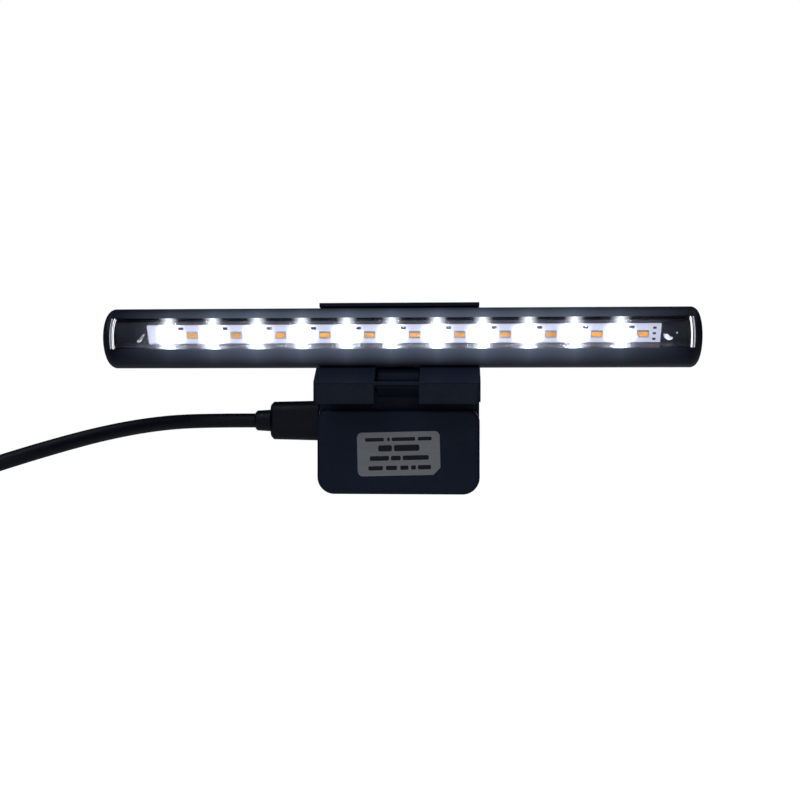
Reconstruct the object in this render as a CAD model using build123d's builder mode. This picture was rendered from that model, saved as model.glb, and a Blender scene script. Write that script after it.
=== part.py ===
from build123d import *
import math
import os

os.makedirs("parts", exist_ok=True)

# Clip-on light bar. X runs along the bar, the window and the label face -Y, Z is up.
# The origin is the middle of the soft seat that rests on the screen's top edge.

# ---- driving dimensions (mm) ----
clip_width = 50.0
slot_gap = 5.0
seat_width = 4.8
pad_thickness = 0.8

bar_length = 182.8
tube_radius = 9.37
tube_wall = 1.1
window_half_angle = 32.0
window_lift = 8.0
bar_y = 8.5
bar_z = 15.8
cap_flange = 2.4
cap_rounding = 2.0

board_length = 158.2
board_width = 5.75
board_thickness = 1.0
board_offset = 0.7
board_depth = 4.3
board_rise = 0.3
board_dip = 25.0
first_led_inset = 7.2
led_pitch = 6.93
led_pairs = 11
resistor_rise = 2.1
led_length = 3.5
led_width = 2.2
led_height = 0.7
phosphor_length = 3.0
phosphor_width = 1.5
phosphor_base = 0.4
phosphor_height = 0.26
pad_inset = 1.95
pad_pitch = 1.8
wire_radius = 0.45
wire_pitch = 1.1

hinge_y = 6.0
hinge_z = 3.0
barrel_radius = 2.8
spring_pocket = 5.4
pin_radius = 1.0
knuckle_width = 12.9
notch_width = 13.5

foot_width = 18.0
foot_rise = 0.9

box_front = slot_gap / 2
box_rear = 18.5
box_top = -6.5
box_bottom = -32.6
spine_front = 7.0
spine_top = -0.6
spine_width = 48.8
seam_y = 8.5
wall = 1.4

screw_x = 18.0
screw_z = -27.0
screw_head = 1.8
screw_shank = 0.78
screw_recess = 2.4
screw_head_height = 1.5

port_y = 11.0
port_z = -10.1

button_z = -14.0
button_radius = 3.6
button_seat = 16.0
cable_y = 15.4

cord_diameter = 4.5
coil_radius = 25.9
coil_turns = 8

# ---- worked out from the driving dimensions ----
tube_length = bar_length - 2 * cap_flange
shelf_level = -board_thickness - 0.05
first_led = board_offset - board_length / 2 + first_led_inset
half_clip = clip_width / 2
half_notch = notch_width / 2
lift = math.radians(window_lift)
window_normal = (0, -math.cos(lift), math.sin(lift))
dip = math.radians(board_dip)
board_normal = (0, -math.cos(dip), -math.sin(dip))
board_y = bar_y - board_depth * math.cos(lift) + board_rise * math.sin(lift)
board_z = bar_z + board_depth * math.sin(lift) + board_rise * math.cos(lift)
board_end = board_length / 2
glue_left = Location((board_offset - board_end - 2.7, -1.5), 52)
glue_right = Location((board_offset + board_end + 2.8, -1.7), -35)
screw_places = [(-screw_x, screw_z), (screw_x, screw_z)]


def save(piece, name):
    piece.label = name
    export_step(piece, "parts/" + name + ".step")
    return piece


# Section of the bar: local x points out of the window, local y points down across it.
def bar_section(x):
    return Plane(origin=(x, bar_y, bar_z), x_dir=window_normal, z_dir=(1, 0, 0))


# Plane parallel to the window, a level above the tube's axis: local x is along the bar.
def bar_level(level):
    origin = (0, bar_y + level * window_normal[1], bar_z + level * window_normal[2])
    return Plane(origin=origin, x_dir=(1, 0, 0), z_dir=window_normal)


# Section of the LED board: local x points out of its face, local y points down along it.
def board_section(x):
    return Plane(origin=(x, board_y, board_z), x_dir=board_normal, z_dir=(1, 0, 0))


# Plane parallel to the LED board's face, a level above it: local x is along the bar.
def board_level(level):
    origin = (0, board_y + level * board_normal[1], board_z + level * board_normal[2])
    return Plane(origin=origin, x_dir=(1, 0, 0), z_dir=board_normal)


# Section across the clip and the box: local x is Y, local y is Z.
def side_section(x):
    return Plane(origin=(x, 0, 0), x_dir=(0, 1, 0), z_dir=(1, 0, 0))


# Section that faces the user: local x is X, local y is Z, extrusion runs towards -Y.
def front_plane(y):
    return Plane(origin=(0, y, 0), x_dir=(1, 0, 0), z_dir=(0, -1, 0))


# Band between two radii, from one angle over a span, drawn into the sketch that is open.
def ring_band(inner, outer, start, span, centre=(0, 0), mode=Mode.ADD):
    with BuildLine(mode=Mode.PRIVATE) as outline:
        outside = CenterArc(centre, outer, start, span)
        inside = CenterArc(centre, inner, start, span)
        Line(outside @ 0, inside @ 0)
        Line(outside @ 1, inside @ 1)
    make_face(outline.edges(), mode=mode)


# ---- light bar ----
groove_angle = window_half_angle + 5.5
groove_inner = 7.95
groove_outer = 8.5
cover_inner = 8.02
cover_outer = 9.05
cover_tongue = 8.42
with BuildPart() as tube_housing:
    with BuildSketch(bar_section(-tube_length / 2)):
        Circle(tube_radius)
        Circle(tube_radius - tube_wall, mode=Mode.SUBTRACT)
    extrude(amount=tube_length)
    # shelf that carries the board, with a wall up to each edge of the window
    with BuildSketch(board_section(-tube_length / 2)):
        with BuildLine():
            Polyline(
                (-2.2, -3.3),
                (-2.7, -5.9),
                (-0.5, -5.7),
                (5.7, 3.9),
                (5.3, 5.2),
                (-0.9, 4.4),
                (-2.2, 3.3),
                close=True,
            )
        make_face()
        with BuildLine():
            Polyline((shelf_level, -3.25), (0.8, -5.1), (5.9, 2.6), (shelf_level, 3.25), close=True)
        make_face(mode=Mode.SUBTRACT)
    extrude(amount=tube_length)
    # window, and the grooves that hold the cover's edges
    with BuildSketch(bar_section(-tube_length / 2)):
        ring_band(groove_inner, groove_outer, -groove_angle, 2 * groove_angle)
        ring_band(groove_inner - 0.05, tube_radius + 0.53, -window_half_angle, 2 * window_half_angle)
    extrude(amount=tube_length, mode=Mode.SUBTRACT)
    # wire hole in the back of the tube
    with BuildSketch(bar_level(-tube_radius - 1)):
        Circle(1.7)
    extrude(amount=4, mode=Mode.SUBTRACT)
    # slot through the shelf, where the wires come up to the pads under the glue
    with BuildSketch(board_level(shelf_level - 3)):
        with Locations(glue_right):
            SlotOverall(1.9, 0.9)
    extrude(amount=4, mode=Mode.SUBTRACT)
save(tube_housing.part, "tube_housing")

with BuildPart() as lens_cover:
    with BuildSketch(bar_section(-tube_length / 2 + 0.05)):
        ring_band(cover_inner, cover_outer, 0.3 - window_half_angle, 2 * window_half_angle - 0.6)
        ring_band(cover_inner, cover_tongue, 0.5 - groove_angle, 2 * groove_angle - 1)
    extrude(amount=tube_length - 0.1)
save(lens_cover.part, "lens_cover")


def end_cap(side, name):
    with BuildPart() as cap:
        with BuildSketch(bar_section(side * tube_length / 2)):
            Circle(tube_radius)
        extrude(amount=side * cap_flange)
        fillet(cap.faces().sort_by(Axis.X)[-1 if side > 0 else 0].edges(), cap_rounding)
        # spigot that presses into the back of the tube
        with BuildSketch(bar_section(side * tube_length / 2)):
            Circle(tube_radius - tube_wall - 0.05)
            with Locations((tube_radius + 2.5, 0)):
                Rectangle(2 * tube_radius, 2 * tube_radius, mode=Mode.SUBTRACT)
            Circle(tube_radius - tube_wall - 1.5, mode=Mode.SUBTRACT)
        extrude(amount=-side * 5)
    return save(cap.part, name)


end_cap(-1, "end_cap_left")
end_cap(1, "end_cap_right")

with BuildPart() as led_board:
    with BuildSketch(board_level(-board_thickness)):
        with Locations((board_offset, 0)):
            Rectangle(board_length, board_width)
    extrude(amount=board_thickness)
save(led_board.part, "led_board")

cool_places = [(first_led + 2 * led_pitch * i, 0) for i in range(led_pairs)]
warm_places = [(first_led + led_pitch * (2 * i + 1), 0) for i in range(led_pairs)]
resistor_places = [(first_led + led_pitch * (2 * i + 0.5), resistor_rise) for i in range(led_pairs)]


def led_row(places, name):
    with BuildPart() as packages:
        with BuildSketch(board_level(0)):
            with Locations(*places):
                RectangleRounded(led_length, led_width, 0.2)
        extrude(amount=led_height)
        with BuildSketch(board_level(led_height)):
            with Locations(*places):
                RectangleRounded(phosphor_length, phosphor_width, 0.3)
        extrude(amount=phosphor_base - led_height, mode=Mode.SUBTRACT)
    save(packages.part, name + "_led_packages")
    with BuildPart() as phosphor:
        with BuildSketch(board_level(phosphor_base)):
            with Locations(*places):
                RectangleRounded(phosphor_length, phosphor_width, 0.3)
        extrude(amount=phosphor_height)
    save(phosphor.part, name + "_led_phosphor")


led_row(cool_places, "cool")
led_row(warm_places, "warm")

with BuildPart() as board_resistors:
    with BuildSketch(board_level(0)):
        with Locations(*resistor_places):
            Rectangle(1.6, 0.8)
    extrude(amount=0.45)
save(board_resistors.part, "board_resistors")

pad_x = board_offset + board_end - pad_inset
with BuildPart() as solder_pads:
    with BuildSketch(board_level(0)):
        with Locations((pad_x, -pad_pitch), (pad_x, 0), (pad_x, pad_pitch)):
            SlotOverall(1.1, 0.7)
    extrude(amount=0.15)
save(solder_pads.part, "solder_pads")

with BuildPart() as glue_dots:
    with BuildSketch(board_level(shelf_level)):
        with Locations(glue_left):
            SlotOverall(3.2, 1.0)
        with Locations(glue_right):
            SlotOverall(2.8, 1.5)
    extrude(amount=0.7)
save(glue_dots.part, "glue_dots")

with BuildPart() as bar_wires:
    for across in (-wire_pitch, 0, wire_pitch):
        with BuildLine(bar_level(0)):
            Line((0.5, across, -2.4 - abs(across)), (board_offset + board_end + 3, across, -0.3))
        with BuildSketch(Plane(origin=bar_wires.pending_edges[-1] @ 0,
                               z_dir=bar_wires.pending_edges[-1] % 0)):
            Circle(wire_radius)
        sweep()
save(bar_wires.part, "bar_wires")

# ---- clip ----
cradle_inner = 9.7
cradle_outer = 11.05
with BuildPart() as cradle:
    with BuildSketch(side_section(-half_clip)):
        ring_band(cradle_inner, cradle_outer, -100, 193, (bar_y, bar_z))
    extrude(amount=clip_width)
    fillet(cradle.edges().filter_by(Axis.X).sort_by(Axis.Z)[-2:], 0.4)
    # room for the hinge knuckle under the tube, and for the springs beside it
    with BuildSketch(side_section(-half_notch - 0.25)):
        with Locations((bar_y - 4.4, hinge_z + 1)):
            Rectangle(11, 7)
    extrude(amount=notch_width + 0.5, mode=Mode.SUBTRACT)
    with BuildSketch(side_section(-half_notch - spring_pocket)):
        with Locations((hinge_y, hinge_z)):
            Circle(2.3)
    extrude(amount=notch_width + 2 * spring_pocket, mode=Mode.SUBTRACT)
    # slot in the back that lets the wires follow the tube
    with BuildSketch(front_plane(bar_y + cradle_outer + 1)):
        with Locations((0, bar_z + 1)):
            SlotOverall(12, 5, rotation=90)
    extrude(amount=6, mode=Mode.SUBTRACT)
save(cradle.part, "cradle")

liner_width = 9.0
liner_x = 15.0
with BuildPart() as friction_liners:
    for side in (-1, 1):
        with BuildSketch(side_section(side * liner_x - liner_width / 2)):
            ring_band(tube_radius + 0.1, cradle_inner, -96, 184, (bar_y, bar_z))
        extrude(amount=liner_width)
save(friction_liners.part, "friction_liners")

hood_width = 16.0
hood_outer = 15.0
hood_wall = 1.4
with BuildPart() as wire_cover:
    with BuildSketch(side_section(-hood_width / 2)):
        ring_band(cradle_outer, hood_outer, -40, 82, (bar_y, bar_z))
    extrude(amount=hood_width)
    fillet(wire_cover.faces().sort_by(Axis.X)[-1].edges().sort_by(SortBy.LENGTH)[-1], 0.8)
    fillet(wire_cover.faces().sort_by(Axis.X)[0].edges().sort_by(SortBy.LENGTH)[-1], 0.8)
    with BuildSketch(side_section(hood_wall - hood_width / 2)):
        ring_band(cradle_outer - 0.5, hood_outer - 1.2, -45, 80, (bar_y, bar_z))
    extrude(amount=hood_width - 2 * hood_wall, mode=Mode.SUBTRACT)
save(wire_cover.part, "wire_cover")

lip_outer = -5.6
lip_inner = -3.1
lip_bottom = -4.2
with BuildPart() as clip_frame:
    with BuildSketch(side_section(-half_clip)):
        with BuildLine():
            Polyline(
                (lip_outer, lip_bottom),
                (lip_inner, lip_bottom),
                (lip_inner, pad_thickness),
                (hinge_y, pad_thickness),
                (hinge_y + barrel_radius, hinge_z),
                (hinge_y + barrel_radius, bar_z - cradle_inner),
                (1.3, 6.3),
                (lip_outer, 1.5),
                close=True,
            )
        make_face()
        with Locations((hinge_y, hinge_z)):
            Circle(barrel_radius)
        with Locations((bar_y, bar_z)):
            Circle(cradle_inner, mode=Mode.SUBTRACT)
        ring_band(cradle_inner - 0.1, cradle_outer, -100, 100, (bar_y, bar_z), Mode.SUBTRACT)
    extrude(amount=clip_width)
    # notch between the two arms, with a thin seat left across it
    with BuildSketch(side_section(-half_notch)):
        with BuildLine():
            Polyline((-9, 1.9), (2.6, 1.9), (2.6, -9), (20, -9), (20, 12), (-9, 12), close=True)
        make_face()
        with Locations((-6, -5)):
            Rectangle(6.2, 11.6)
    extrude(amount=notch_width, mode=Mode.SUBTRACT)
    # bore of the hinge pin and the two spring pockets
    with BuildSketch(side_section(-half_clip)):
        with Locations((hinge_y, hinge_z)):
            Circle(pin_radius + 0.02)
    extrude(amount=clip_width, mode=Mode.SUBTRACT)
    for start in (-half_notch - spring_pocket, half_notch):
        with BuildSketch(side_section(start)):
            with Locations((hinge_y, hinge_z)):
                Circle(2.25)
        extrude(amount=spring_pocket, mode=Mode.SUBTRACT)
    upright = clip_frame.edges().filter_by(Axis.Z)
    fillet(upright.filter_by_position(Axis.Y, lip_outer - 0.1, lip_outer + 0.1), 0.6)
save(clip_frame.part, "clip_frame")

sleeve_front = -6.0
sleeve_top = 1.1
sleeve_bottom = -4.8
with BuildPart() as lip_sleeves:
    for start in (half_notch - 0.05, 0.9 - half_clip):
        with BuildSketch(side_section(start)):
            with BuildLine():
                Polyline(
                    (sleeve_front, sleeve_top),
                    (sleeve_front, sleeve_bottom),
                    (-slot_gap / 2, sleeve_bottom),
                    (-slot_gap / 2, pad_thickness - 0.1),
                    (lip_inner, pad_thickness - 0.1),
                    (lip_inner, lip_bottom),
                    (lip_outer, lip_bottom),
                    (lip_outer, sleeve_top),
                    close=True,
                )
            make_face()
        extrude(amount=half_clip - 0.9 - half_notch + 0.05)
    fillet(lip_sleeves.edges().filter_by(Axis.X).group_by(Axis.Z)[0], 0.5)
save(lip_sleeves.part, "lip_sleeves")

with BuildPart() as seat_pad:
    with BuildSketch(Plane.XY):
        Rectangle(clip_width - 1.4, seat_width)
    extrude(amount=pad_thickness)
save(seat_pad.part, "seat_pad")

pin_length = clip_width - 0.8
with BuildPart() as hinge_pin:
    with BuildSketch(side_section(-pin_length / 2)):
        with Locations((hinge_y, hinge_z)):
            Circle(pin_radius)
    extrude(amount=pin_length)
    chamfer(hinge_pin.edges(), 0.2)
save(hinge_pin.part, "hinge_pin")

spring_wire = 0.6
spring_mean = 1.72
with BuildPart() as torsion_springs:
    for start in (-half_notch - 4.9, half_notch + 0.5):
        with BuildLine():
            coil_line = Helix(0.78, 3.9, spring_mean, center=(start, hinge_y, hinge_z), direction=(1, 0, 0))
        with BuildSketch(Plane(origin=coil_line @ 0, z_dir=coil_line % 0)):
            Circle(spring_wire / 2)
        sweep()
save(torsion_springs.part, "torsion_springs")

# ---- rear jaw: the control box ----
corner_bottom = 5.3
corner_top = 3.8


# Block with the box's front outline between two depths: large lower corners, smaller upper ones.
def rounded_box(y_near, y_far, top, inset, upper_corner, width=clip_width, mode=Mode.ADD):
    half_height = (top - box_bottom - inset) / 2
    with BuildSketch(front_plane(y_far), mode=Mode.PRIVATE) as face:
        with Locations((0, box_bottom + inset + half_height)):
            Rectangle(width - 2 * inset, 2 * half_height)
        fillet(face.vertices().group_by(Axis.Y)[0], corner_bottom - inset)
        fillet(face.vertices().group_by(Axis.Y)[-1], upper_corner)
    extrude(face.sketch, amount=y_far - y_near, mode=mode)


with BuildPart() as front_shell:
    rounded_box(box_front, seam_y, box_top, 0, corner_top)
    fillet(front_shell.faces().sort_by(Axis.Y)[0].edges(), 1.2)
    rounded_box(box_front + wall, seam_y + 1, box_top - wall, wall, corner_top - wall, mode=Mode.SUBTRACT)
    with BuildSketch(front_plane(box_front + wall)):
        with Locations(*screw_places):
            Circle(2.1)
    extrude(amount=-7.6)
    with BuildSketch(front_plane(box_front + wall + 2)):
        with Locations(*screw_places):
            Circle(0.8)
    extrude(amount=-6, mode=Mode.SUBTRACT)
save(front_shell.part, "front_shell")

knuckle_half = knuckle_width / 2
with BuildPart() as rear_shell:
    rounded_box(seam_y, box_rear, spine_top, 0, 2.4)
    fillet(rear_shell.faces().sort_by(Axis.Y)[-1].edges(), 1.6)
    # ledge above the front shell, close behind the slot
    with BuildSketch(front_plane(seam_y)) as ledge:
        with Locations((0, (spine_top + box_top) / 2)):
            Rectangle(spine_width, spine_top - box_top)
        fillet(ledge.vertices().group_by(Axis.Y)[-1], 2.0)
    extrude(amount=seam_y - spine_front)
    rounded_box(seam_y - 0.1, box_rear - wall, spine_top - wall, wall, 1.0, spine_width, Mode.SUBTRACT)
    with BuildSketch(side_section(-knuckle_half)):
        with BuildLine():
            Polyline(
                (hinge_y - 1.8, hinge_z - 2.1),
                (spine_front, spine_top - 2.2),
                (spine_front + 1.4, spine_top - 1.4),
                (spine_front + 4.5, spine_top),
                (hinge_y + barrel_radius, hinge_z),
                (hinge_y, hinge_z),
                close=True,
            )
        make_face()
        with Locations((hinge_y, hinge_z)):
            Circle(barrel_radius)
    extrude(amount=knuckle_width)
    with BuildSketch(side_section(-knuckle_half)):
        with Locations((hinge_y, hinge_z)):
            Circle(pin_radius + 0.06)
    extrude(amount=knuckle_width, mode=Mode.SUBTRACT)
    # foot beside the knuckle that closes the gap under the arms
    with BuildSketch(front_plane(hinge_y + 4)):
        with Locations((0, spine_top + foot_rise / 2)):
            Rectangle(foot_width, foot_rise)
    extrude(amount=2)
    # towers for the two screws, counterbored from the back
    with BuildSketch(front_plane(box_rear - wall)):
        with Locations(*screw_places):
            Circle(2.6)
    extrude(amount=box_rear - wall - 11.6)
    with BuildSketch(front_plane(box_rear)):
        with Locations(*screw_places):
            Circle(2.0)
    extrude(amount=4, mode=Mode.SUBTRACT)
    with BuildSketch(front_plane(box_rear)):
        with Locations(*screw_places):
            Circle(1.1)
    extrude(amount=8, mode=Mode.SUBTRACT)
    # openings for the plug, the button and the cable
    with BuildSketch(side_section(-half_clip)):
        with Locations((port_y, port_z)):
            SlotOverall(9.1, 3.4, rotation=90)
    extrude(amount=3, mode=Mode.SUBTRACT)
    with BuildSketch(front_plane(box_rear)):
        with Locations((0, button_z)):
            Circle(button_radius + 0.2)
    extrude(amount=2, mode=Mode.SUBTRACT)
    with BuildSketch(Plane.XY.offset(spine_top - 2)):
        with Locations((0, cable_y)):
            Circle(1.4)
    extrude(amount=3, mode=Mode.SUBTRACT)
save(rear_shell.part, "rear_shell")

with BuildPart() as shell_screws:
    with BuildSketch(front_plane(box_rear - screw_recess)):
        with Locations(*screw_places):
            Circle(screw_head)
    extrude(amount=screw_head_height)
    with BuildSketch(front_plane(box_rear - screw_recess - screw_head_height)):
        with Locations(*screw_places):
            Circle(screw_shank)
    extrude(amount=7.5)
    # cross recess in each head
    with BuildSketch(front_plane(box_rear - screw_recess)):
        with Locations(*screw_places):
            Rectangle(2.0, 0.45)
            Rectangle(0.45, 2.0)
    extrude(amount=0.8, mode=Mode.SUBTRACT)
save(shell_screws.part, "shell_screws")

label_width = 25.4
label_height = 13.4
label_slant = 1.5
label_rounding = 1.6
label_cut = 2.2
label_thickness = 0.14
label_middle = (0.2, -20.05)
with BuildPart() as rating_label:
    with BuildSketch(front_plane(box_front)) as label_face:
        with Locations(Location(label_middle, label_slant)):
            Rectangle(label_width, label_height)
        # one corner is cut, the others are rounded
        towards_cut = Axis((0, 0, 0), (1, -1, 0))
        fillet(label_face.vertices().sort_by(towards_cut)[:-1], label_rounding)
        chamfer(label_face.vertices().sort_by(towards_cut)[-1], label_cut)
    extrude(amount=label_thickness)
save(rating_label.part, "rating_label")

board_near = 12.7
board_far = board_near + 1.2
with BuildPart() as driver_board:
    with BuildSketch(front_plane(board_far)):
        with Locations((-2.2, -14.2)):
            Rectangle(41, 20)
    extrude(amount=board_far - board_near)
save(driver_board.part, "driver_board")

with BuildPart() as driver_parts:
    with BuildSketch(front_plane(board_near)):
        with Locations((4, -10)):
            Rectangle(5, 4)
        with Locations((4, -19)):
            Rectangle(3, 2.9)
    extrude(amount=1.5)
    with BuildSketch(front_plane(board_near)):
        with Locations((-8, -19), (-3, -19)):
            Rectangle(1.25, 2.0)
        with Locations((-3, -9), (-3, -12), (-3, -15)):
            Rectangle(1.6, 0.8)
    extrude(amount=0.8)
    with BuildSketch(front_plane(board_near)):
        with Locations((12, -13)):
            Circle(2.5)
    extrude(amount=3.4)
save(driver_parts.part, "driver_parts")

socket_width = 8.94
socket_height = 3.2
socket_wall = 0.6
socket_depth = 7.3
socket_mouth = -half_clip + 0.6
with BuildPart() as usb_socket:
    with BuildSketch(side_section(socket_mouth)):
        with Locations((port_y, port_z)):
            SlotOverall(socket_width, socket_height, rotation=90)
            SlotOverall(8.4, socket_height - socket_wall, rotation=90, mode=Mode.SUBTRACT)
    extrude(amount=socket_depth)
    with BuildSketch(side_section(socket_mouth + socket_depth)):
        with Locations((port_y, port_z)):
            SlotOverall(socket_width, socket_height, rotation=90)
    extrude(amount=0.6)
    with BuildSketch(side_section(socket_mouth + 1.2)):
        with Locations((port_y, port_z)):
            Rectangle(0.7, 6.6)
    extrude(amount=socket_depth - 1.2)
save(usb_socket.part, "usb_socket")

with BuildPart() as tact_switch:
    with BuildSketch(front_plane(board_far + 1.5)):
        with Locations((0, button_z)):
            Rectangle(4.5, 4.5)
    extrude(amount=1.5)
    with BuildSketch(front_plane(board_far + 1.5)):
        with Locations((0, button_z)):
            Circle(1.1)
    extrude(amount=1.1, mode=Mode.SUBTRACT)
save(tact_switch.part, "tact_switch")

with BuildPart() as switch_plunger:
    with BuildSketch(front_plane(button_seat)):
        with Locations((0, button_z)):
            Circle(1.0)
    extrude(amount=button_seat - board_far - 0.85)
save(switch_plunger.part, "switch_plunger")

with BuildPart() as mode_button:
    with BuildSketch(front_plane(button_seat + 0.8)):
        with Locations((0, button_z)):
            Circle(button_radius + 0.8)
    extrude(amount=0.8)
    with BuildSketch(front_plane(box_rear + 0.5)):
        with Locations((0, button_z)):
            Circle(button_radius)
    extrude(amount=box_rear + 0.5 - button_seat - 0.8)
    fillet(mode_button.faces().sort_by(Axis.Y)[-1].edges(), 0.5)
save(mode_button.part, "mode_button")

# ---- cable from the box up into the cradle ----
cable_route = [(0, 20.9, 14.5), (0, 19.9, 10.5), (0, 17.0, 5.6), (0, cable_y, -0.5), (0, cable_y, -6.5)]
cable_diameter = 2.2


# Arc at each corner of a route: 0.45 of the shorter run over the tangent of half the turn.
def corner_radii(points):
    places = [Vector(*point) for point in points]
    radii = []
    for before, corner, after in zip(places, places[1:], places[2:]):
        half_turn = math.radians((corner - before).get_angle(after - corner) / 2)
        shorter = min((corner - before).length, (after - corner).length)
        radii.append(0.45 * shorter / math.tan(half_turn))
    return radii


def round_tube(points, diameter, name):
    radii = corner_radii(points)
    with BuildPart() as tube:
        with BuildLine():
            path = FilletPolyline(*points, radius=radii)
        with BuildSketch(Plane(origin=path @ 0, z_dir=path % 0)):
            Circle(diameter / 2)
        sweep()
    expected = math.pi * diameter ** 2 / 4 * path.length
    print(name, "radii", [round(r, 1) for r in radii], "length", round(path.length, 1))
    print("  volume", round(tube.part.volume), "expected", round(expected))
    return save(tube.part, name)


round_tube(cable_route, cable_diameter, "link_cable")

# ---- USB lead ----
overmould_end = -40.6
relief_end = -45.6
plug_face = -half_clip - 0.3
shell_width = 8.2
shell_height = 2.4
shell_wall = 0.3
with BuildPart() as usb_c_shell:
    with BuildSketch(side_section(plug_face)):
        with Locations((port_y, port_z)):
            SlotOverall(shell_width, shell_height, rotation=90)
            SlotOverall(
                shell_width - 2 * shell_wall,
                shell_height - 2 * shell_wall,
                rotation=90,
                mode=Mode.SUBTRACT,
            )
    extrude(amount=6.6)
save(usb_c_shell.part, "usb_c_shell")

with BuildPart() as usb_c_insert:
    with BuildSketch(side_section(plug_face)):
        with Locations((port_y, port_z)):
            SlotOverall(shell_width - 2 * shell_wall, shell_height - 2 * shell_wall, rotation=90)
    extrude(amount=1.4)
save(usb_c_insert.part, "usb_c_insert")

with BuildPart() as usb_c_overmould:
    with BuildSketch(side_section(plug_face)):
        with Locations((port_y, port_z)):
            SlotOverall(12.6, 6.6, rotation=90)
    with BuildSketch(side_section(overmould_end)):
        with Locations((port_y, port_z)):
            SlotOverall(11.9, 6.4, rotation=90)
    loft()
    chamfer(usb_c_overmould.faces().sort_by(Axis.X)[0].edges(), 0.8)
save(usb_c_overmould.part, "usb_c_overmould")

with BuildPart() as strain_relief:
    with BuildSketch(side_section(overmould_end)):
        with Locations((port_y, port_z)):
            SlotOverall(6.9, 5.8, rotation=90)
    with BuildSketch(side_section(relief_end)):
        with Locations((port_y, port_z)):
            SlotOverall(6.3, 5.5, rotation=90)
    loft()
    chamfer(strain_relief.faces().sort_by(Axis.X)[0].edges(), 0.5)
save(strain_relief.part, "strain_relief")

# The lead swings out towards the user, then turns down into its tied coil.
lead_route = [
    (relief_end, port_y, port_z),
    (-60, port_y, port_z),
    (-73, 3.5, -10.6),
    (-85.5, -9.5, -13),
    (-99, -24, -17.5),
    (-116, -32.5, -23.5),
    (-133, -37, -29),
    (-149, -38, -31.9),
]
round_tube(lead_route, cord_diameter, "lead_cord")

coil_x = -149.0
coil_y = -45.0
coil_z = -60.0
coil_half_width = 9.3
layer_step = 4.6
with BuildPart() as lead_coil:
    with BuildSketch(front_plane(coil_y + coil_half_width)):
        with Locations((coil_x, coil_z)):
            Circle(coil_radius + layer_step)
            Circle(coil_radius - layer_step, mode=Mode.SUBTRACT)
    extrude(amount=2 * coil_half_width)
    fillet(lead_coil.edges().filter_by(GeomType.CIRCLE), 1.8)
save(lead_coil.part, "lead_coil")
turns_length = coil_turns * 2 * math.pi * coil_radius
print("coil turns", coil_turns, "length", round(turns_length))

# The loose end hangs from the coil's outer side.
tail_x = coil_x - coil_radius - layer_step / 2
tail_y = coil_y - coil_half_width + cord_diameter / 2
plug_x = tail_x - 0.8
plug_y = tail_y - 0.6
plug_z = coil_z - 31
tail_route = [(tail_x, tail_y, coil_z), (plug_x, plug_y, coil_z - 15), (plug_x, plug_y, plug_z)]
round_tube(tail_route, cord_diameter, "lead_tail")


relief_length = 9.0
grip_length = 23.0
grip_end = relief_length + grip_length


# Level section through the hanging plug.
def plug_section(drop):
    return Plane(origin=(plug_x, plug_y, plug_z - drop), x_dir=(1, 0, 0), z_dir=(0, 0, -1))


with BuildPart() as usb_a_relief:
    with BuildSketch(plug_section(0)):
        RectangleRounded(6.2, 5.6, 2.0)
    with BuildSketch(plug_section(relief_length)):
        RectangleRounded(9.0, 6.6, 2.2)
    loft()
save(usb_a_relief.part, "usb_a_relief")

with BuildPart() as usb_a_overmould:
    with BuildSketch(plug_section(relief_length)):
        RectangleRounded(15.4, 7.8, 1.8)
    extrude(amount=grip_length)
    chamfer(usb_a_overmould.faces().sort_by(Axis.Z)[-1].edges(), 0.9)
    fillet(usb_a_overmould.faces().sort_by(Axis.Z)[0].edges(), 0.4)
save(usb_a_overmould.part, "usb_a_overmould")

with BuildPart() as usb_a_shell:
    with BuildSketch(plug_section(grip_end)):
        RectangleRounded(12.0, 4.5, 0.4)
        RectangleRounded(11.4, 3.9, 0.2, mode=Mode.SUBTRACT)
    extrude(amount=12.2)
    hole_middle = (plug_x, plug_y, plug_z - 37.5)
    with BuildSketch(Plane(origin=hole_middle, x_dir=(1, 0, 0), z_dir=(0, 1, 0))):
        with Locations((-2.8, 0), (2.8, 0)):
            Rectangle(2.2, 2.2)
    extrude(amount=5, both=True, mode=Mode.SUBTRACT)
save(usb_a_shell.part, "usb_a_shell")

with BuildPart() as usb_a_tongue:
    with BuildSketch(plug_section(grip_end)):
        with Locations((0, 0.9)):
            Rectangle(11.0, 1.9)
    extrude(amount=11.6)
save(usb_a_tongue.part, "usb_a_tongue")

strap_width = 8.0
with BuildPart() as cord_tie:
    strap_start = (coil_x - strap_width / 2, coil_y, coil_z - coil_radius)
    with BuildSketch(Plane(origin=strap_start, x_dir=(0, 1, 0), z_dir=(1, 0, 0))):
        RectangleRounded(2 * coil_half_width + 2.6, 2 * layer_step + 3.2, 2.4)
        RectangleRounded(2 * coil_half_width + 0.6, 2 * layer_step + 1.2, 1.4, mode=Mode.SUBTRACT)
    extrude(amount=strap_width)
save(cord_tie.part, "cord_tie")
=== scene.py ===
import bpy
import bmesh
import math
from mathutils import Matrix, Vector, noise


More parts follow.
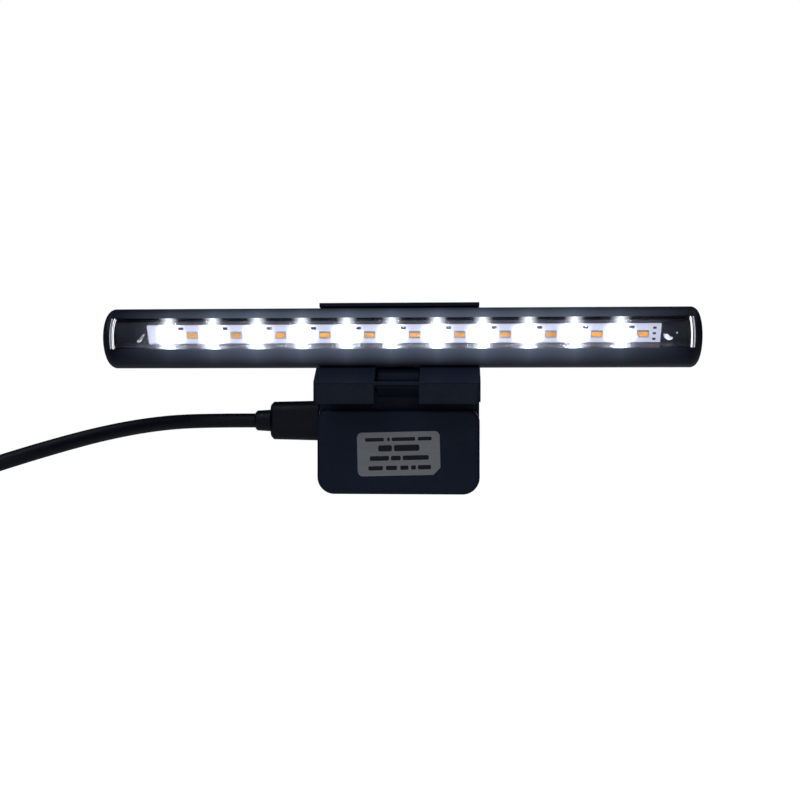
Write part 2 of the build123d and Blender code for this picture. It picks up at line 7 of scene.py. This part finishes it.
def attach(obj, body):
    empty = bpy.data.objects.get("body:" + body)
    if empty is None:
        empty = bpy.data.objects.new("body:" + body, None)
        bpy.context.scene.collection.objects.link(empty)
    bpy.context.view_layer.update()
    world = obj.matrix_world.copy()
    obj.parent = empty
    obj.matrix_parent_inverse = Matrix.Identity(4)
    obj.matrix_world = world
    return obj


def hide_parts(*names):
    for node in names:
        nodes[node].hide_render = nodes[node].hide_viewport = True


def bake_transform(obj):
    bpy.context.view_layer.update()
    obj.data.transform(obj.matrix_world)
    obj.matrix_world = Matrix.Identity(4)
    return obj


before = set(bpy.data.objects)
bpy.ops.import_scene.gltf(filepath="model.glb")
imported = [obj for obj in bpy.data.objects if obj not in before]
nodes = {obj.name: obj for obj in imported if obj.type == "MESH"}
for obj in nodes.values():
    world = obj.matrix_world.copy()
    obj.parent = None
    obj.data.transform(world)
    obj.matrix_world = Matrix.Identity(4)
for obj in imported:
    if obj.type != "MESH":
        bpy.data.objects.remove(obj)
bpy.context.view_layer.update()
print("frame loaded:", len(nodes), "nodes")


# ---- small helpers ----
def mm(*values):
    return Vector([v / 1000 for v in values])


# A piece that rides on a body; one that bends between two bodies is given none.
def linkPiece(name, data, body, material):
    piece = bpy.data.objects.new(name, data)
    bpy.context.scene.collection.objects.link(piece)
    data.materials.append(material)
    if body:
        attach(piece, body)
    return piece


def meshFrom(name, bm, smooth=True):
    mesh = bpy.data.meshes.new(name)
    bm.to_mesh(mesh)
    bm.free()
    for face in mesh.polygons:
        face.use_smooth = smooth
    return mesh


def dress(material, *names):
    for name in names:
        mesh = nodes[name].data
        mesh.materials.clear()
        mesh.materials.append(material)


# ---- materials ----
# Where the lit LEDs stand, in metres, with the bar's axis and the board's face.
bar = {
    "firstLed": -0.0712,
    "ledStep": 0.01386,
    "rowEnd": 0.0745,
    "rowFade": 0.002,
    "axis": (0, 0.0085, 0.0158),
    "windowNormal": (0, -0.99027, 0.13917),
    "boardMiddle": (0, 0.004284, 0.016695),
    "boardUp": (0, -0.42262, 0.90631),
}


class Finish:
    def __init__(self, name, color, roughness, metallic=0.0):
        self.material = bpy.data.materials.new(name)
        self.material.use_nodes = True
        self.tree = self.material.node_tree
        self.bsdf = self.tree.nodes["Principled BSDF"]
        self.out = self.tree.nodes["Material Output"]
        self.bsdf.inputs["Base Color"].default_value = (*color, 1)
        self.bsdf.inputs["Roughness"].default_value = roughness
        self.bsdf.inputs["Metallic"].default_value = metallic
        self.place = self.node("ShaderNodeTexCoord").outputs["Object"]

    def node(self, kind, **settings):
        made = self.tree.nodes.new(kind)
        for key, value in settings.items():
            setattr(made, key, value)
        return made

    def join(self, source, target):
        self.tree.links.new(source, target)

    def noise(self, scale, detail=3.0, stretch=(1, 1, 1)):
        mapping = self.node("ShaderNodeMapping")
        mapping.inputs["Scale"].default_value = stretch
        self.join(self.place, mapping.inputs["Vector"])
        made = self.node("ShaderNodeTexNoise")
        made.inputs["Scale"].default_value = scale
        made.inputs["Detail"].default_value = detail
        self.join(mapping.outputs["Vector"], made.inputs["Vector"])
        return made.outputs["Fac"]

    def spread(self, value, low, high, fromLow=0.0, fromHigh=1.0):
        made = self.node("ShaderNodeMapRange")
        made.inputs["From Min"].default_value = fromLow
        made.inputs["From Max"].default_value = fromHigh
        made.inputs["To Min"].default_value = low
        made.inputs["To Max"].default_value = high
        self.join(value, made.inputs["Value"])
        return made.outputs["Result"]

    def calculate(self, operation, first, second=0.0):
        made = self.node("ShaderNodeMath", operation=operation)
        self.join(first, made.inputs[0])
        if isinstance(second, float):
            made.inputs[1].default_value = second
        else:
            self.join(second, made.inputs[1])
        return made.outputs[0]

    def blend(self, factor, first, second):
        made = self.node("ShaderNodeMix", data_type="RGBA")
        made.inputs[6].default_value = (*first, 1)
        made.inputs[7].default_value = (*second, 1)
        self.join(factor, made.inputs[0])
        return made.outputs[2]

    def axes(self):
        made = self.node("ShaderNodeSeparateXYZ")
        self.join(self.place, made.inputs[0])
        return made.outputs

    def vectorMath(self, operation, source, constant=None):
        made = self.node("ShaderNodeVectorMath", operation=operation)
        self.join(source, made.inputs[0])
        if constant:
            made.inputs[1].default_value = constant
        return made.outputs

    # How far the surface lies from an origin, along a direction.
    def measured(self, origin, direction):
        offset = self.vectorMath("SUBTRACT", self.place, origin)[0]
        return self.vectorMath("DOT_PRODUCT", offset, direction)["Value"]

    # Nearness to the lit LEDs: 1 over each one, falling to 0 at the given distance, which is
    # measured along the bar, or all round on the board's face.
    def nearLed(self, width, radial=False):
        along = self.axes()["X"]
        shifted = self.calculate("ADD", along, -bar["firstLed"] + bar["ledStep"] / 2)
        step = self.calculate("FLOORED_MODULO", shifted, bar["ledStep"])
        away = self.calculate("ABSOLUTE", self.calculate("ADD", step, -bar["ledStep"] / 2))
        if radial:
            up = self.measured(bar["boardMiddle"], bar["boardUp"])
            alongSquare = self.calculate("MULTIPLY", away, away)
            upSquare = self.calculate("MULTIPLY", up, up)
            away = self.calculate("SQRT", self.calculate("ADD", alongSquare, upSquare))
        near = self.spread(away, 1.0, 0.0, 0.0, width)
        fromMiddle = self.calculate("ABSOLUTE", along)
        inRow = self.spread(fromMiddle, 1.0, 0.0, bar["rowEnd"], bar["rowEnd"] + bar["rowFade"])
        return self.calculate("MULTIPLY", self.calculate("MULTIPLY", near, near), inRow)

    def relief(self, height, strength, distance, edge=0.0):
        made = self.node("ShaderNodeBump")
        made.inputs["Strength"].default_value = strength
        made.inputs["Distance"].default_value = distance
        self.join(height, made.inputs["Height"])
        if edge:
            rounding = self.node("ShaderNodeBevel", samples=4)
            rounding.inputs["Radius"].default_value = edge
            self.join(rounding.outputs["Normal"], made.inputs["Normal"])
        self.join(made.outputs["Normal"], self.bsdf.inputs["Normal"])


# Moulded plastic: cloudy colour, fine grain, faint handling marks and softened edges.
def mouldedPlastic(name, color, paler, roughness, grain, specular=0.35, edge=0.00025, depth=0.00005):
    made = Finish(name, color, roughness)
    made.bsdf.inputs["Specular IOR Level"].default_value = specular
    cloud = made.noise(60, 4)
    clouds = made.spread(cloud, 0, 1, 0.35, 0.7)
    made.join(made.blend(clouds, color, paler), made.bsdf.inputs["Base Color"])
    rubbed = made.calculate("ADD", made.noise(900, 2), made.noise(45, 5, (1, 1, 2)))
    rough = made.spread(rubbed, roughness - 0.09, roughness + 0.12, 0.7, 1.3)
    made.join(rough, made.bsdf.inputs["Roughness"])
    made.relief(made.noise(grain, 2), 0.5, depth, edge)
    return made.material


# Metal: brushed grain along one direction, with duller patches.
def brushedMetal(name, color, roughness, stretch=(1, 1, 1)):
    made = Finish(name, color, roughness, 1.0)
    dull = tuple(0.7 * c for c in color)
    patches = made.spread(made.noise(240, 4), 0, 1, 0.4, 0.75)
    made.join(made.blend(patches, color, dull), made.bsdf.inputs["Base Color"])
    grain = made.noise(1800, 3, stretch)
    made.join(made.spread(grain, roughness - 0.1, roughness + 0.14), made.bsdf.inputs["Roughness"])
    made.relief(grain, 0.2, 0.00002, 0.0001)
    return made.material


clipColor = (0.0075, 0.0145, 0.036)
clipPaler = (0.0105, 0.0185, 0.045)
clipPlastic = mouldedPlastic("clipPlastic", clipColor, clipPaler, 0.52, 5200, 0.25)
capPlastic = mouldedPlastic("capPlastic", (0.006, 0.008, 0.017), (0.009, 0.012, 0.023), 0.45, 5200, 0.3)
softRubber = mouldedPlastic("softRubber", (0.015, 0.021, 0.037), (0.02, 0.027, 0.045), 0.66, 4200, 0.3, 0.0004)
cordSkin = mouldedPlastic("cordSkin", (0.0028, 0.0045, 0.012), (0.004, 0.006, 0.015), 0.45, 6000, 0.3)
chipBlack = mouldedPlastic("chipBlack", (0.012, 0.012, 0.013), (0.02, 0.02, 0.02), 0.5, 4000)
resistorBody = mouldedPlastic("resistorBody", (0.16, 0.17, 0.24), (0.2, 0.21, 0.28), 0.5, 6000)
tongueWhite = mouldedPlastic("tongueWhite", (0.75, 0.75, 0.72), (0.8, 0.8, 0.78), 0.45, 4000)
packageWhite = mouldedPlastic("packageWhite", (0.85, 0.85, 0.83), (0.9, 0.9, 0.88), 0.4, 6000)
boardGreen = mouldedPlastic("boardGreen", (0.01, 0.12, 0.05), (0.015, 0.16, 0.07), 0.3, 3000)
felt = mouldedPlastic("felt", (0.02, 0.02, 0.022), (0.045, 0.045, 0.05), 0.95, 2500, 0.2, 0.0001, 0.0002)
wireSkin = mouldedPlastic("wireSkin", (0.012, 0.012, 0.014), (0.02, 0.02, 0.022), 0.4, 5000)
printInk = mouldedPlastic("printInk", (0.008, 0.009, 0.014), (0.02, 0.02, 0.026), 0.55, 9000, 0.3, 0.00005)
steel = brushedMetal("steel", (0.6, 0.61, 0.63), 0.3, (0.15, 1, 1))
solder = brushedMetal("solder", (0.16, 0.16, 0.17), 0.4)
darkSteel = brushedMetal("darkSteel", (0.05, 0.05, 0.055), 0.4, (0.15, 1, 1))


# The tube: satin black coat over drawn metal outside, with painted stray light (a glow in the coat)
# beside the window, and bare grey walls inside that carry the LEDs' light.
tube = {
    "coat": (0.0032, 0.0062, 0.021),
    "worn": (0.0052, 0.0085, 0.025),
    "inside": (0.07, 0.073, 0.085),
    "innerRadius": 0.0081,
    "strayColor": (0.58, 0.71, 1.0),
    "strayLight": 0.175,
    "strayStart": 0.1,  # cosine of the angle from the window's middle
    "strayEnd": 0.87,
    "paintedStreakWidth": 0.0075,
    "fadeStart": 0.05,
    "fadeEnd": 0.088,
}


def tubeCoating():
    made = Finish("tubeCoat", tube["coat"], 0.4)
    made.bsdf.inputs["Specular IOR Level"].default_value = 0.22
    # painted stray light: the coat outside glows beside the window, in streaks under each lit LED, fading
    # towards the ends
    fromAxis = made.vectorMath("SUBTRACT", made.place, bar["axis"])[0]
    across = made.vectorMath("MULTIPLY", fromAxis, (0, 1, 1))[0]
    radius = made.vectorMath("LENGTH", across)["Value"]
    outside = made.calculate("GREATER_THAN", radius, tube["innerRadius"])
    direction = made.vectorMath("NORMALIZE", across)[0]
    facing = made.vectorMath("DOT_PRODUCT", direction, bar["windowNormal"])["Value"]
    besideWindow = made.spread(facing, 0.0, 1.0, tube["strayStart"], tube["strayEnd"])
    squared = made.calculate("MULTIPLY", besideWindow, besideWindow)
    paintedStreaks = made.spread(made.nearLed(tube["paintedStreakWidth"]), 0.75, 1.15)
    fromMiddle = made.calculate("ABSOLUTE", made.axes()["X"])
    inRow = made.spread(fromMiddle, 1.0, 0.0, tube["fadeStart"], tube["fadeEnd"])
    stray = made.calculate("MULTIPLY", made.calculate("MULTIPLY", squared, paintedStreaks), inRow)
    stray = made.calculate("MULTIPLY", made.calculate("MULTIPLY", stray, outside), tube["strayLight"])
    made.bsdf.inputs["Emission Color"].default_value = (*tube["strayColor"], 1)
    made.join(stray, made.bsdf.inputs["Emission Strength"])
    drawn = made.noise(2600, 3, (0.02, 1, 1))
    coat = made.blend(made.noise(70, 4), tube["coat"], tube["worn"])
    both = made.node("ShaderNodeMix", data_type="RGBA")
    both.inputs[6].default_value = (*tube["inside"], 1)
    made.join(outside, both.inputs[0])
    made.join(coat, both.inputs[7])
    made.join(both.outputs[2], made.bsdf.inputs["Base Color"])
    made.join(made.spread(drawn, 0.36, 0.52, 0.3, 0.7), made.bsdf.inputs["Roughness"])
    made.relief(made.calculate("ADD", drawn, made.noise(6500, 2)), 0.35, 0.00002, 0.0002)
    return made.material


# The LED board: white, with a painted glow all over that is brightest round each lit LED.
board = {
    "color": (0.66, 0.66, 0.86),
    "paler": (0.74, 0.74, 0.92),
    "glow": (0.86, 0.88, 1.0),
    "lit": 0.72,
    "brightest": 7.0,
    "reach": 0.0062,
}


def boardMaterial():
    made = Finish("boardWhite", board["color"], 0.35)
    made.join(made.blend(made.noise(500, 4), board["color"], board["paler"]), made.bsdf.inputs["Base Color"])
    made.join(made.spread(made.noise(900, 2), 0.28, 0.45), made.bsdf.inputs["Roughness"])
    # painted light: the board glows all over, and most round each lit LED
    made.bsdf.inputs["Emission Color"].default_value = (*board["glow"], 1)
    strength = made.spread(made.nearLed(board["reach"], True), board["lit"], board["brightest"])
    made.join(strength, made.bsdf.inputs["Emission Strength"])
    made.relief(made.noise(3000, 2), 0.3, 0.00003)
    return made.material


# Silver film: faint brushed lines and a slightly dusty surface.
def labelFilm():
    made = Finish("labelSilver", (0.36, 0.355, 0.36), 0.45, 0.2)
    lines = made.noise(1400, 3, (0.03, 1, 1))
    made.join(made.blend(lines, (0.33, 0.325, 0.33), (0.4, 0.395, 0.39)), made.bsdf.inputs["Base Color"])
    made.join(made.spread(made.noise(120, 4), 0.4, 0.6), made.bsdf.inputs["Roughness"])
    made.relief(made.noise(2600, 2), 0.2, 0.00003, 0.0001)
    return made.material


# Strap: dark looped fabric.
def strapFabric():
    made = Finish("strapFabric", (0.012, 0.013, 0.016), 0.95)
    made.bsdf.inputs["Sheen Weight"].default_value = 0.3
    loops = made.noise(2800, 3)
    made.join(made.blend(loops, (0.008, 0.009, 0.012), (0.03, 0.031, 0.036)), made.bsdf.inputs["Base Color"])
    made.join(made.spread(loops, 1.0, 0.85), made.bsdf.inputs["Roughness"])
    made.relief(loops, 0.9, 0.0002, 0.0004)
    return made.material


# Clear cover: lets the light straight through, with a thin haze that catches it, painted glints
# where its long edges meet each lit LED, and painted bright lines, for trapped light, near its two ends.
cover = {
    "haze": 0.06,
    "hazeColor": (0.9, 0.93, 1.0),
    "brightBands": ((0.08795, 0.08812, 1.8), (0.08875, 0.08888, 0.7)),
    "edgeGlints": 1.6,
    "glintWidth": 0.0035,
    "edgeDepth": 0.00772,  # the edges lie nearer the axis than this, along the window's normal
}


def coverMaterial():
    made = Finish("lensClear", (1, 1, 1), 0.08)
    made.bsdf.inputs["Specular IOR Level"].default_value = 0.5
    clear = made.node("ShaderNodeBsdfTransparent")
    clear.inputs["Color"].default_value = (0.96, 0.97, 1.0, 1)
    cloudy = made.node("ShaderNodeBsdfTranslucent")
    cloudy.inputs["Color"].default_value = (*cover["hazeColor"], 1)
    through = made.node("ShaderNodeMixShader")
    haze = made.spread(made.noise(140, 4), cover["haze"] * 0.85, cover["haze"] * 1.15)
    made.join(haze, through.inputs["Fac"])
    made.join(clear.outputs[0], through.inputs[1])
    made.join(cloudy.outputs[0], through.inputs[2])
    made.bsdf.inputs["Base Color"].default_value = (0.02, 0.02, 0.025, 1)
    made.join(made.spread(made.noise(400, 3), 0.05, 0.14), made.bsdf.inputs["Roughness"])
    sheen = made.node("ShaderNodeFresnel")
    sheen.inputs["IOR"].default_value = 1.42
    surface = made.node("ShaderNodeMixShader")
    made.join(sheen.outputs[0], surface.inputs["Fac"])
    made.join(through.outputs[0], surface.inputs[1])
    made.join(made.bsdf.outputs[0], surface.inputs[2])
    # painted glints where the cover's two long edges catch each lit LED
    facing = made.measured(bar["axis"], bar["windowNormal"])
    atEdge = made.calculate("LESS_THAN", facing, cover["edgeDepth"])
    nearEdge = made.calculate("MULTIPLY", atEdge, made.nearLed(cover["glintWidth"]))
    strength = made.calculate("MULTIPLY", nearEdge, cover["edgeGlints"])
    # painted bright bands near the two ends
    distance = made.calculate("ABSOLUTE", made.axes()["X"])
    for near, far, level in cover["brightBands"]:
        pastNear = made.calculate("GREATER_THAN", distance, near)
        beforeFar = made.calculate("LESS_THAN", distance, far)
        inside = made.calculate("MULTIPLY", pastNear, beforeFar)
        strength = made.calculate("ADD", strength, made.calculate("MULTIPLY", inside, level))
    # painted light: the edge glints and end bands glow
    paintedLight = made.node("ShaderNodeEmission")
    paintedLight.inputs["Color"].default_value = (0.93, 0.96, 1.0, 1)
    made.join(strength, paintedLight.inputs["Strength"])
    both = made.node("ShaderNodeAddShader")
    made.join(surface.outputs[0], both.inputs[0])
    made.join(paintedLight.outputs[0], both.inputs[1])
    made.join(both.outputs[0], made.out.inputs["Surface"])
    return made.material


# Glowing parts, the lit LEDs and a faint painted glow on the warm LEDs: a glow that varies a little over the
# face.
def lightSource(name, color, strength, weakest):
    made = Finish(name, color, 0.4)
    made.bsdf.inputs["Emission Color"].default_value = (*color, 1)
    glow = made.spread(made.noise(500, 2), weakest, strength, 0.3, 0.6)
    made.join(glow, made.bsdf.inputs["Emission Strength"])
    return made.material


# Clear glue: cloudy colour, with painted glints, a glow that varies over the drops.
def glueMaterial():
    made = Finish("glueClear", (0.85, 0.87, 0.9), 0.18)
    made.bsdf.inputs["Emission Color"].default_value = (0.95, 0.97, 1.0, 1)
    glints = made.spread(made.noise(600, 2), 0.05, 1.3, 0.4, 0.65)
    made.join(glints, made.bsdf.inputs["Emission Strength"])
    cloudy = made.blend(made.noise(700, 3), (0.6, 0.62, 0.66), (0.9, 0.9, 0.92))
    made.join(cloudy, made.bsdf.inputs["Base Color"])
    made.relief(made.noise(500, 3), 0.5, 0.0003)
    return made.material


tubeCoat = tubeCoating()
boardWhite = boardMaterial()
labelSilver = labelFilm()
lensClear = coverMaterial()
glueClear = glueMaterial()
strapLoop = strapFabric()
coolLight = lightSource("coolLight", (0.9, 0.95, 1.0), 130, 90)
# the warm LEDs are not among the lit ones: their phosphor gets a faint painted glow
warmPhosphor = lightSource("warmPhosphor", (0.95, 0.42, 0.06), 1.1, 0.5)

dress(clipPlastic, "cradle", "wire_cover", "clip_frame", "front_shell", "rear_shell", "mode_button")
dress(tubeCoat, "tube_housing")
dress(capPlastic, "end_cap_left", "end_cap_right")
dress(softRubber, "lip_sleeves", "seat_pad")
dress(felt, "friction_liners")
dress(darkSteel, "hinge_pin", "torsion_springs")
dress(steel, "shell_screws", "usb_socket", "usb_c_shell", "usb_a_shell")
dress(solder, "solder_pads")
dress(lensClear, "lens_cover")
dress(boardWhite, "led_board")
dress(packageWhite, "cool_led_packages", "warm_led_packages")
dress(coolLight, "cool_led_phosphor")
dress(warmPhosphor, "warm_led_phosphor")
dress(resistorBody, "board_resistors")
dress(chipBlack, "driver_parts", "tact_switch", "switch_plunger", "usb_c_insert")
dress(wireSkin, "bar_wires")
dress(strapLoop, "cord_tie")
dress(labelSilver, "rating_label")
dress(boardGreen, "driver_board")
dress(tongueWhite, "usb_a_tongue")
dress(cordSkin, "usb_c_overmould", "strain_relief", "usb_a_relief", "usb_a_overmould")
print("materials on")

# ---- printing on the label: plain bars in place of words ----
labelPrint = {
    "centre": (0.2, -20.05),
    "slant": 1.5,
    "surface": 2.36,
    "thickness": 0.02,
    "flatLimit": 1e-6,
    "rounding": 0.00028,  # metres for each millimetre of a bar's height
    # height of the row's middle, bar height, and the start and end of each bar
    "rows": (
        (4.45, 1.1, ((-10.2, -4.4), (-3.4, -2.6), (-2.0, 5.2), (6.0, 10.2))),
        (1.75, 1.9, ((-6.2, -2.0), (-1.4, 6.4))),
        (-1.3, 1.4, ((-8.9, -3.0), (-2.4, 0.6), (1.2, 9.2))),
        (-4.3, 1.3, ((-9.4, -4.9), (-4.0, -0.6), (0.4, 2.9), (3.7, 5.2), (5.8, 9.8))),
    ),
}


# Whether an edge runs through the print's thickness.
def runsThrough(edge):
    return abs((edge.verts[0].co - edge.verts[1].co).y) > labelPrint["flatLimit"]


def buildLabelPrint():
    bm = bmesh.new()
    x, z = labelPrint["centre"]
    place = Matrix.Translation(mm(x, labelPrint["surface"], z))
    place @= Matrix.Rotation(math.radians(-labelPrint["slant"]), 4, "Y")
    for middle, height, bars in labelPrint["rows"]:
        for start, end in bars:
            size = Matrix.Diagonal((*mm(end - start, labelPrint["thickness"], height), 1))
            spot = Matrix.Translation(mm((start + end) / 2, -labelPrint["thickness"] / 2, middle))
            stroke = bmesh.ops.create_cube(bm, size=1, matrix=place @ spot @ size)
            edges = {e for v in stroke["verts"] for e in v.link_edges if runsThrough(e)}
            bmesh.ops.bevel(
                bm,
                geom=list(edges),
                offset=height * labelPrint["rounding"],
                offset_type="OFFSET",
                segments=3,
                profile=0.5,
                affect="EDGES",
                material=-1,
            )
    linkPiece("label_print", meshFrom("labelPrint", bm, False), "rear_box", printInk)


buildLabelPrint()
print("label printed")

# ---- drops of glue on the shelf at the board's ends ----
glue = {
    "origin": (0, 4.284, 16.695),  # middle of the board's face
    "dip": 25,
    "shelf": -1.05,
    "waviness": 0.28,
    # along the bar, up the board, turn, and half length, width and height of each drop
    "drops": (
        (-81.1, -1.5, 52, (1.75, 0.45, 0.55)),
        (-81.9, -2.3, 20, (0.7, 0.35, 0.3)),
        (82.1, -1.6, -35, (1.35, 0.7, 0.6)),
        (83.1, -2.0, 10, (0.7, 0.5, 0.4)),
        (84.9, -0.3, 60, (0.22, 0.2, 0.2)),
    ),
}


def buildGlue():
    bm = bmesh.new()
    tilt = Matrix.Rotation(math.radians(90 + glue["dip"]), 4, "X")
    shelf = Matrix.Translation(mm(*glue["origin"])) @ tilt
    for along, up, turn, size in glue["drops"]:
        drop = bmesh.ops.create_icosphere(bm, subdivisions=4, radius=1)["verts"]
        for vert in drop:
            swell = noise.noise(vert.co * 1.7 + Vector((along, up, 0)))
            vert.co *= 1 + glue["waviness"] * swell
        bmesh.ops.scale(bm, verts=drop, vec=mm(*size))
        spot = Matrix.Translation(mm(along, up, glue["shelf"]))
        turned = Matrix.Rotation(math.radians(turn), 4, "Z")
        bmesh.ops.transform(bm, verts=drop, matrix=shelf @ spot @ turned)
    floor = shelf @ mm(0, 0, glue["shelf"])
    up = shelf.to_3x3() @ Vector((0, 0, 1))
    everything = bm.verts[:] + bm.edges[:] + bm.faces[:]
    cut = bmesh.ops.bisect_plane(bm, geom=everything, plane_co=floor, plane_no=up, clear_inner=True)
    rims = [e for e in cut["geom_cut"] if isinstance(e, bmesh.types.BMEdge)]
    bmesh.ops.holes_fill(bm, edges=rims, sides=0)
    bmesh.ops.recalc_face_normals(bm, faces=bm.faces[:])
    drops = linkPiece("glue_drops", meshFrom("glueDrops", bm), "light_bar", glueClear)
    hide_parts("glue_dots")


buildGlue()
print("glue set")

# ---- cable from the box up into the cradle ----
linkCable = {
    "diameter": 2.2,
    "route": [(0, 20.9, 14.5), (0, 19.9, 10.5), (0, 17.0, 5.6), (0, 15.4, -0.5), (0, 15.4, -6.5)],
    "bendStart": (0, 19.2, 9),
    "bendEnd": (0, 15.4, 0),
}


def curveThrough(name, points, diameter, resolution):
    curve = bpy.data.curves.new(name, "CURVE")
    curve.dimensions = "3D"
    curve.bevel_depth = diameter / 2000
    curve.bevel_resolution = 6
    curve.use_fill_caps = True
    spline = curve.splines.new("NURBS")
    spline.points.add(len(points) - 1)
    for point, place in zip(spline.points, points):
        point.co = (*(Vector(place) / 1000), 1)
    spline.order_u = 3
    spline.use_endpoint_u = True
    spline.resolution_u = resolution
    return curve


def buildLinkCable():
    curve = curveThrough("linkCableLine", linkCable["route"], linkCable["diameter"], 12)
    line = bpy.data.objects.new("linkCableLine", curve)
    bpy.context.scene.collection.objects.link(line)
    bpy.context.view_layer.update()
    mesh = bpy.data.meshes.new_from_object(line.evaluated_get(bpy.context.evaluated_depsgraph_get()))
    bpy.data.objects.remove(line)
    mesh.materials.clear()
    cable = linkPiece("link_cable_bend", mesh, None, wireSkin)
    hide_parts("link_cable")
    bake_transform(cable)


buildLinkCable()
print("link cable laid")

# ---- the lead ----
lead = {
    "diameter": 4.5,
    "length": 1.5,
    "route": [
        (-45.6, 11, -10.1),
        (-60, 11, -10.1),
        (-73, 3.5, -10.6),
        (-85.5, -9.5, -13),
        (-99, -24, -17.5),
        (-116, -32.5, -23.5),
        (-133, -37, -29),
    ],
    "coilCentre": (-149, -45, -60),
    "columns": 4,
    "columnStep": 4.7,
    "radii": (28.2, 23.6),
    "pointsPerTurn": 16,
    "crossing": 0.7,  # share of a turn after which it moves over to its neighbour
    "tail": ((-0.8, -0.6, -15), (-0.8, -0.6, -31)),
}


# Where each turn lies in the bundle: column by column, outer and inner layer in turn.
def turnPlaces():
    places = []
    for column in range(lead["columns"]):
        offset = ((lead["columns"] - 1) / 2 - column) * lead["columnStep"]
        layers = lead["radii"] if column % 2 == 0 else lead["radii"][::-1]
        places += [(offset, radius) for radius in layers]
    return places


def leadPoints():
    points = [Vector(p) for p in lead["route"]]
    centre = Vector(lead["coilCentre"])
    places = turnPlaces()
    count = lead["pointsPerTurn"]
    stretch = 1 / math.cos(math.pi / count)
    for step in range(1, len(places) * count + count // 4):
        turn = min(step // count, len(places) - 1)
        following = min(turn + 1, len(places) - 1)
        share = max(0.0, (step / count - turn - lead["crossing"]) / (1 - lead["crossing"]))
        share = share if following > turn else 0.0
        offset, radius = (places[turn][i] * (1 - share) + places[following][i] * share for i in (0, 1))
        angle = math.pi / 2 + 2 * math.pi * step / count
        reach = radius * stretch
        points.append(centre + Vector((reach * math.cos(angle), offset, reach * math.sin(angle))))
    offset, radius = places[-1]
    side = centre + Vector((-radius, offset, 0))
    return points + [side + Vector(drop) for drop in lead["tail"]]


leadLine = curveThrough("leadLine", leadPoints(), lead["diameter"], 6)
leadCord = linkPiece("lead", leadLine, "usb_lead", cordSkin)
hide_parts("lead_cord", "lead_coil", "lead_tail")
print("lead laid")

# ---- stage, light and camera ----
studio = {
    "floorLevel": -0.3,
    "white": 1.0,
    "fill": 0.04,
    "tint": (0.78, 0.87, 1.0),
    "camera": (16.1, -283.4, -3.6),
    "yaw": 3.1,
    "lens": 42.08,
}


# Pale surround: bright to look at, dim as a source of light.
def paleGlow(tree, socket):
    rays = tree.nodes.new("ShaderNodeLightPath")
    level = tree.nodes.new("ShaderNodeMapRange")
    level.inputs["To Min"].default_value = studio["fill"]
    level.inputs["To Max"].default_value = studio["white"]
    tree.links.new(rays.outputs["Is Camera Ray"], level.inputs["Value"])
    tree.links.new(level.outputs["Result"], socket)


def buildStage():
    bm = bmesh.new()
    bmesh.ops.create_grid(bm, x_segments=1, y_segments=1, size=6)
    bmesh.ops.translate(bm, verts=bm.verts, vec=(0, 0, studio["floorLevel"]))
    mesh = meshFrom("floor", bm, False)
    floor = bpy.data.objects.new("floor", mesh)
    bpy.context.scene.collection.objects.link(floor)
    paint = Finish("floorPaint", (0.8, 0.8, 0.8), 0.8)
    paint.join(paint.spread(paint.noise(3, 2), 0.75, 0.85), paint.bsdf.inputs["Roughness"])
    paint.bsdf.inputs["Emission Color"].default_value = (1, 1, 1, 1)
    paleGlow(paint.tree, paint.bsdf.inputs["Emission Strength"])
    mesh.materials.append(paint.material)

    world = bpy.data.worlds.new("studio")
    world.use_nodes = True
    bpy.context.scene.world = world
    back = world.node_tree.nodes["Background"]
    back.inputs["Color"].default_value = (1, 1, 1, 1)
    paleGlow(world.node_tree, back.inputs["Strength"])


def softLight(name, place, target, size, power):
    light = bpy.data.lights.new(name, "AREA")
    light.shape = "SQUARE"
    light.size = size
    light.energy = power
    light.color = studio["tint"]
    lamp = bpy.data.objects.new(name, light)
    lamp.location = place
    lamp.rotation_euler = (Vector(target) - Vector(place)).to_track_quat("-Z", "Y").to_euler()
    bpy.context.scene.collection.objects.link(lamp)


def placeCamera():
    view = bpy.data.cameras.new("camera")
    view.lens = studio["lens"]
    view.sensor_width = 36
    view.clip_start = 0.005
    camera = bpy.data.objects.new("camera", view)
    camera.location = mm(*studio["camera"])
    camera.rotation_euler = (math.radians(90), 0, math.radians(studio["yaw"]))
    bpy.context.scene.collection.objects.link(camera)
    bpy.context.scene.camera = camera


buildStage()
softLight("keyLight", (-0.5, -0.7, 0.9), (0, 0, 0), 0.8, 3)
softLight("frontLight", (0.1, -1.1, 0.12), (0, 0, 0), 0.5, 0.8)
softLight("topLight", (0.1, 0, 1.2), (0, 0, 0), 1.0, 2)
softLight("rearLight", (0.45, 1.1, 0.12), (0, 0, 0), 0.6, 3.5)
placeCamera()
bpy.context.scene.view_settings.view_transform = "Standard"
print("stage, light and camera placed")
